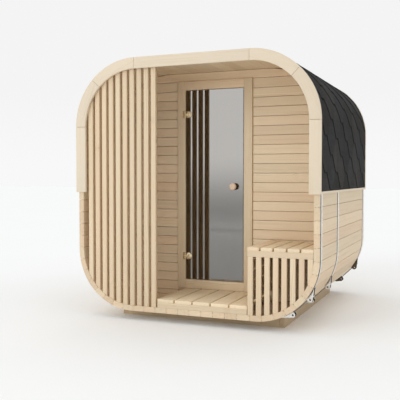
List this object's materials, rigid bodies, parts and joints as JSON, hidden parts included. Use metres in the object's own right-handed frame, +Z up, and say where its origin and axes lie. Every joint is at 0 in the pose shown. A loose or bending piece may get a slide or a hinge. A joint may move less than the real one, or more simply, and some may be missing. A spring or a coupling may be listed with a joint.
{
  "type": "garden sauna",
  "caption": "Rounded-square timber garden sauna with a sheltered porch, slat screen, bench, glass door and tabbed shingle roof on a low base.",
  "frame": {"origin": "on the ground, under the middle of the building's box", "axes": "+X to the right seen from the front, +Y from front to back, +Z up"},
  "size_m": [2.156, 2.15, 2.221],
  "materials": {
    "spruce": "planed, untreated",
    "fascia_wood": "planed, untreated",
    "base_wood": "planed, untreated",
    "knob_wood": "turned, oiled",
    "band_steel": "satin stainless",
    "shingle": "mineral-faced bitumen",
    "door_glass": "clear tempered, lightly tinted",
    "hinge_brass": "satin"
  },
  "bodies": {
    "building": {"base_rail_left": "base_wood", "base_rail_right": "base_wood", "base_front_beam": "base_wood", "base_middle_beam": "base_wood", "base_rear_beam": "base_wood", "shell_floor": "spruce", "shell_top": "spruce", "shell_left_side": "spruce", "shell_right_side": "spruce", "shell_top_left_round": "spruce", "shell_top_right_round": "spruce", "shell_bottom_left_round": "spruce", "shell_bottom_right_round": "spruce", "steel_bands": "band_steel", "tension_bolts": "band_steel", "roof_covering_middle": "shingle", "roof_covering_left": "shingle", "roof_covering_right": "shingle", "drip_battens": "fascia_wood", "front_fascia_left_post": "fascia_wood", "front_fascia_left_lower_bend": "fascia_wood", "front_fascia_left_upper_bend": "fascia_wood", "front_fascia_lintel": "fascia_wood", "front_fascia_right_upper_bend": "fascia_wood", "front_fascia_right_lower_bend": "fascia_wood", "front_fascia_right_post": "fascia_wood", "rear_fascia": "fascia_wood", "front_wall_left": "spruce", "front_wall_right": "spruce", "front_wall_over_door": "spruce", "front_wall_under_door": "spruce", "rear_wall": "spruce", "door_jambs": "spruce", "door_head": "spruce", "door_sill": "spruce", "hinge_plates": "hinge_brass", "screen_slats": "spruce", "porch_floor_boards": "spruce", "cabin_floor_boards": "spruce", "floor_bearers": "spruce", "bench_top_boards": "spruce", "bench_rails": "spruce", "bench_front_slats": "spruce", "bench_cladding_boards": "spruce", "cabin_bench_boards": "spruce", "cabin_bench_frames": "spruce"},
    "door": {"door_glass": "door_glass", "hinge_clamps": "hinge_brass", "door_knobs": "knob_wood"}
  },
  "joints": [
    {"name": "door_hinge", "type": "hinge", "parent": "building", "child": "door", "pos_m": [-0.3095, -0.458, 1.14], "axis": [0, 0, -1], "range_deg": [0, 90]}
  ]
}
